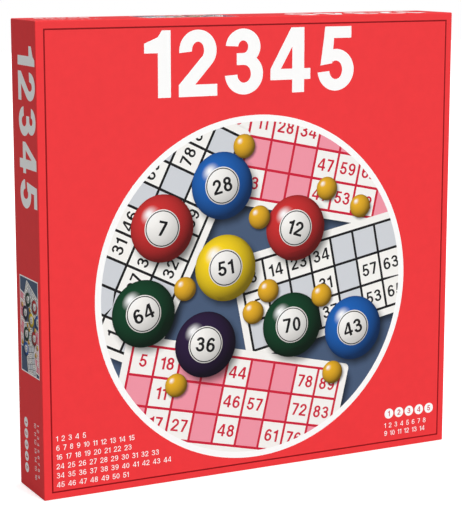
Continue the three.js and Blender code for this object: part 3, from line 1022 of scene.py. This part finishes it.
def draw_picture(pen, scale=1):
    """Numbered balls and beads over tickets, each with a soft shadow under it."""
    pen = pen.at(0, 0, 0, scale)
    pen.panel("slate", 4 * PICTURE_RADIUS, 4 * PICTURE_RADIUS)
    for centre, degrees, ink, blank, seed in TICKETS:
        pen = pen.at(0, 0, layers=MOTIF_LAYERS)
        turn = math.radians(degrees)
        moved = pen.at(centre[0] + SHADOW_MOVE[0], centre[1] + SHADOW_MOVE[1], turn)
        moved.shadow(TICKET_HALF, TICKET_CORNER + SHADOW_SPREAD, SHADOW_SPREAD)
        draw_ticket(pen.at(*centre, turn, layers=1), ink, blank, seed)
    balls = [(BALL_RADIUS, *ball) for ball in BALLS]
    balls += [(BEAD_RADIUS, bead, 0, "amber", None) for bead in BEADS]
    for radius, centre, degrees, ink, value in balls:
        pen = pen.at(0, 0, layers=MOTIF_LAYERS)
        share = radius / BALL_RADIUS
        moved = pen.at(centre[0] + SHADOW_MOVE[0] * share, centre[1] + SHADOW_MOVE[1] * share)
        moved.shadow((radius, radius), radius, SHADOW_SPREAD * share)
        draw_ball(pen.at(*centre, 0, radius, 1), ink, degrees, value)


# Heavy title numerals, running numbers and a row of numbered discs

TITLE_TEXT = "12345"
TITLE_GAP_SHARE = 0.13
DOT_COUNT = 5
DOT_RADIUS = 3.2 * MM
DOT_PITCH = 7.3 * MM
DOT_NUMBER = 3.4 * MM


def draw_title(pen, left, right, base, height):
    """Five heavy numerals spread over the width of the title."""
    numerals = [numeral(character, TITLE_STYLE) for character in TITLE_TEXT]
    natural = sum(width for _, width in numerals) + TITLE_GAP_SHARE * (len(numerals) - 1)
    unit = (right - left) / natural
    for polygons, width in numerals:
        for polygon in polygons:
            pen.polygon("white", [(left + x * unit, base + y * height) for x, y in polygon])
        left += (width + TITLE_GAP_SHARE) * unit


def draw_text_lines(pen, widths, pitch, height):
    """Lines of small running numbers, each about as long as its width."""
    value = 0
    for line, width in enumerate(widths):
        text, longer = "", str(value + 1)
        while numbers_width(longer, TEXT_STYLE) * height < width + height / 2:
            value += 1
            text, longer = longer, f"{longer} {value + 1}"
        pen.at(0, -pitch * line).number("white", text, height, TEXT_STYLE, middle=False)


def draw_dots(pen):
    """A row of small numbered discs."""
    for i in range(DOT_COUNT):
        place = pen.at(DOT_PITCH * i, 0)
        place.disc("white", DOT_RADIUS, SMALL_STEPS)
        place.number("red", str(i + 1), DOT_NUMBER, layers=1)


# The print on the lid's front, measured from its top left corner

KEYLINE_LEFT = 4.6 * MM
KEYLINE_RIGHT = 3.9 * MM
KEYLINE_TOP = 4.3 * MM
KEYLINE_BOTTOM = 3.9 * MM
KEYLINE_WIDTH = 0.85 * MM
TITLE_LEFT = 63.5 * MM
TITLE_RIGHT = 198 * MM
TITLE_BASE = 44 * MM
TITLE_HEIGHT = 37.3 * MM
RING_CENTRE = (133.7 * MM, 157.5 * MM)
RING_RADIUS = 101.6 * MM
TEXT_LEFT = 7.6 * MM
TEXT_TOP = 231.6 * MM
TEXT_WIDTHS = [20 * MM, 47 * MM, 45 * MM, 65 * MM, 74 * MM, 44 * MM]
TEXT_PITCH = 5.35 * MM
TEXT_HEIGHT = 3.1 * MM
NOTE_LEFT = 223.4 * MM
NOTE_TOP = 252 * MM
NOTE_WIDTHS = [30 * MM, 30 * MM]
NOTE_PITCH = 5 * MM
DOTS_LEFT = 226.6 * MM
DOTS_TOP = 244.6 * MM


def draw_keyline(pen):
    left, right = KEYLINE_LEFT, WIDTH - KEYLINE_RIGHT
    top, bottom = -KEYLINE_TOP, KEYLINE_BOTTOM - HEIGHT
    under, over = top - KEYLINE_WIDTH, bottom + KEYLINE_WIDTH
    pen.rectangle("keyline", (left, under), (right, top))
    pen.rectangle("keyline", (left, bottom), (right, over))
    pen.rectangle("keyline", (left, over), (left + KEYLINE_WIDTH, under))
    pen.rectangle("keyline", (right - KEYLINE_WIDTH, over), (right, under))


def print_front():
    corner = (lid_low.x, lid_low.y, lid_high.z)
    plate = Plate("lid_print", "lid", "lid_paper", corner, X, Z)
    pen = plate.pen()
    draw_keyline(pen)
    draw_title(pen, TITLE_LEFT, TITLE_RIGHT, -TITLE_BASE, TITLE_HEIGHT)
    pen.at(RING_CENTRE[0], -RING_CENTRE[1]).ring("white", PICTURE_RADIUS, RING_RADIUS, PICTURE_STEPS)
    draw_text_lines(pen.at(TEXT_LEFT, -TEXT_TOP), TEXT_WIDTHS, TEXT_PITCH, TEXT_HEIGHT)
    draw_text_lines(pen.at(NOTE_LEFT, -NOTE_TOP), NOTE_WIDTHS, NOTE_PITCH, TEXT_HEIGHT)
    draw_dots(pen.at(DOTS_LEFT, -DOTS_TOP))
    plate.build()
    middle = (lid_low.x + RING_CENTRE[0], lid_low.y, lid_high.z - RING_CENTRE[1])
    picture = Plate("lid_picture", "lid", "lid_paper", middle, X, Z)
    draw_picture(picture.pen(circle_points(PICTURE_RADIUS, PICTURE_STEPS)))
    picture.build()


# The print on the lid's four sides: a strip that starts at one end of each, its top towards the panel

SIDE_TITLE_SPAN = (14 * MM, 103.5 * MM)
SIDE_TITLE_BASE = 10.3 * MM
SIDE_TITLE_HEIGHT = 25.9 * MM
SIDE_PICTURE_LOW = (142.6 * MM, 5.6 * MM)
SIDE_PICTURE_HIGH = (198 * MM, 34.4 * MM)
SIDE_PICTURE_BORDER = 0.7 * MM
SIDE_PICTURE_SCALE = 0.21
SIDE_TEXT = (224.5 * MM, 30 * MM)
SIDE_TEXT_WIDTHS = [32 * MM, 32 * MM]
SIDE_TEXT_PITCH = 4.6 * MM
SIDE_TEXT_HEIGHT = 2.8 * MM
SIDE_DOTS = (227.5 * MM, 11 * MM)
SIDE_DOT_SHARE = 0.92


def print_side(name, origin, right, up):
    plate = Plate(f"{name}_print", "lid", "lid_paper", origin, right, up)
    pen = plate.pen()
    draw_title(pen, *SIDE_TITLE_SPAN, SIDE_TITLE_BASE, SIDE_TITLE_HEIGHT)
    low, high = SIDE_PICTURE_LOW, SIDE_PICTURE_HIGH
    pen.rectangle("white", low, high)
    draw_text_lines(pen.at(*SIDE_TEXT), SIDE_TEXT_WIDTHS, SIDE_TEXT_PITCH, SIDE_TEXT_HEIGHT)
    draw_dots(pen.at(*SIDE_DOTS, 0, SIDE_DOT_SHARE))
    plate.build()
    u, v = (low[0] + high[0]) / 2, (low[1] + high[1]) / 2
    middle = plate.origin + plate.right * u + plate.up * v + plate.normal * PRINT_LIFT
    half = [(end - start) / 2 - SIDE_PICTURE_BORDER for start, end in zip(low, high)]
    picture = Plate(f"{name}_picture", "lid", "lid_paper", middle, right, up)
    clip = [(side * half[0], end * half[1]) for side, end in ((-1, -1), (1, -1), (1, 1), (-1, 1))]
    draw_picture(picture.pen(clip), SIDE_PICTURE_SCALE)
    picture.build()


def print_sides():
    back = lid_high.y
    print_side("left_side", (lid_low.x, back, lid_high.z), -Z, -Y)
    print_side("right_side", (lid_high.x, back, lid_low.z), Z, -Y)
    print_side("top_side", (lid_high.x, back, lid_high.z), -X, -Y)
    print_side("under_side", (lid_low.x, back, lid_low.z), X, -Y)


# Markers: each stack's ten single discs, a little out of line with each other

MARKER_SEED = 41
MARKER_SIDES = 40
MARKER_JITTER = 0.12 * MM
MARKERS_IN_STACK = 10
MARKER_GAP_SHARE = 0.05
MARKER_SHARP_ANGLE = math.radians(35)
RIM_WIDTH = 1.5 * MM
RIM_ROUND = 0.4 * MM
DISH = 0.25 * MM


def marker_profile(radius, thickness):
    """Radius and height of each ring of one marker, from the middle of its back to that of its front."""
    inner = radius - RIM_WIDTH
    half = [(0, DISH), (inner - DISH, DISH), (inner, 0), (radius - RIM_ROUND, 0), (radius, RIM_ROUND)]
    return half + [(away, thickness - height) for away, height in reversed(half)]


def add_marker(points, faces, x, back, z, radius, thickness):
    rings = []
    for away, height in marker_profile(radius, thickness):
        start = len(points)
        loop = circle_points(away, MARKER_SIDES if away else 1)
        points += [(x + across, back - height, z + along) for across, along in loop]
        rings.append(range(start, len(points)) if away else [start] * MARKER_SIDES)
    faces += [list(dict.fromkeys(quad)) for quad in ring_quads(rings)]


def make_markers():
    draw = random.Random(MARKER_SEED)
    for node in bodies["markers"]:
        low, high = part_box(node)
        thickness = (high.y - low.y) / MARKERS_IN_STACK
        gap = thickness * MARKER_GAP_SHARE
        radius = (high.x - low.x) / 2 - MARKER_JITTER
        points, faces = [], []
        for i in range(MARKERS_IN_STACK):
            x = (low.x + high.x) / 2 + draw.uniform(-MARKER_JITTER, MARKER_JITTER)
            z = (low.z + high.z) / 2 + draw.uniform(-MARKER_JITTER, MARKER_JITTER)
            add_marker(points, faces, x, high.y - i * thickness - gap, z, radius, thickness - 2 * gap)
        name = node.replace("stack", "discs")
        piece = new_object(name, points, faces, [MARKER_PLASTIC], "markers", smooth=True)
        piece.data.set_sharp_from_angle(angle=MARKER_SHARP_ANGLE)
        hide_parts(node)


# Camera

CAMERA_PLACE = Vector((-452.0, -873.4, 303.4)) * MM
CAMERA_AZIMUTH = math.radians(27.027)
CAMERA_DOWN = math.radians(10.253)
FOCAL_PIXELS = 1689.06
FRAME_PIXELS = (462, 512)
SENSOR = 36.0
CLIP_START = 10 * MM


def make_camera():
    data = bpy.data.cameras.new("camera")
    data.sensor_width = SENSOR
    data.lens = FOCAL_PIXELS / max(FRAME_PIXELS) * SENSOR
    data.clip_start = CLIP_START
    camera = add_object("camera", data)
    camera.location = CAMERA_PLACE
    camera.rotation_euler = (math.pi / 2 - CAMERA_DOWN, 0, -CAMERA_AZIMUTH)
    scene.camera = camera


# Surroundings, floor and lamps: the side that each lamp shines from, and its strength

WORLD_SEEN = 1
WORLD_LIGHT = 0.26
WORLD_GLOSS = 0.14
FLOOR_SIZE = 8.0
FLOOR_SEEN = 0.93
FLOOR_UNSEEN = 0.28
FLOOR_LIFT = 0.45
FLOOR_SPECULAR = 0.1
SUN_SPREAD = math.radians(24)
SUNS = {
    "key": ((0.3, -0.82, 0.48), 2.37),
    "fill": ((-0.8, -0.42, 0.35), 0.58),
    "top": ((0.1, 0.05, 1.0), 0.65),
    "back": ((-0.08, 0.7, 0.7), 0.95),
}


def ray_kind(tree, kind):
    """One for rays of this kind and zero for all others."""
    return tree.nodes.new("ShaderNodeLightPath").outputs[kind]


def make_world():
    """Even white surroundings: bright to the camera, soft as a light and dim in reflections."""
    world = bpy.data.worlds.new("world")
    scene.world = world
    world.use_nodes = True
    tree = world.node_tree
    background = tree.nodes["Background"]
    background.inputs["Color"].default_value = linear(WHITE)
    strength = background.inputs["Strength"]
    seen = map_range(tree, ray_kind(tree, "Is Camera Ray"), strength, WORLD_LIGHT, WORLD_SEEN)
    map_range(tree, ray_kind(tree, "Is Glossy Ray"), seen.inputs["To Min"], WORLD_LIGHT, WORLD_GLOSS)


def make_floor():
    """A pale floor that reads as white, but throws little light back."""
    half = FLOOR_SIZE / 2
    mesh = bpy.data.meshes.new("floor")
    corners = [(-half, -half, 0), (half, -half, 0), (half, half, 0), (-half, half, 0)]
    mesh.from_pydata(corners, [], [[0, 1, 2, 3]])
    material, tree, shader = new_material("floor_white", roughness=0.8)
    seen = ray_kind(tree, "Is Camera Ray")
    map_range(tree, seen, shader.inputs["Base Color"], FLOOR_UNSEEN, FLOOR_SEEN)
    map_range(tree, seen, shader.inputs["Emission Strength"], 0, FLOOR_LIFT)
    shader.inputs["Specular IOR Level"].default_value = FLOOR_SPECULAR
    shader.inputs["Emission Color"].default_value = linear(WHITE)
    mesh.materials.append(material)
    floor = add_object("floor", mesh)


def make_lights():
    """Broad, even studio light from lamps far away."""
    for name, (source, strength) in SUNS.items():
        data = bpy.data.lights.new(name, "SUN")
        data.energy = strength
        data.angle = SUN_SPREAD
        light = add_object(name, data)
        light.rotation_mode = "QUATERNION"
        light.rotation_quaternion = Vector(source).to_track_quat("Z", "Y")


scene.view_settings.view_transform = "Standard"
make_camera()
make_world()
make_floor()
make_lights()

make_wrap("lid_cover", "lid_wrap", "lid", LID_PAPER, lid_low.y, lid_high.y)
make_wrap("base_cover", "base_wrap", "base", BASE_PAPER, base_high.y, base_low.y)
finish_nodes()
make_markers()
print_front()
print_sides()
print_cards()
print_leaflet()
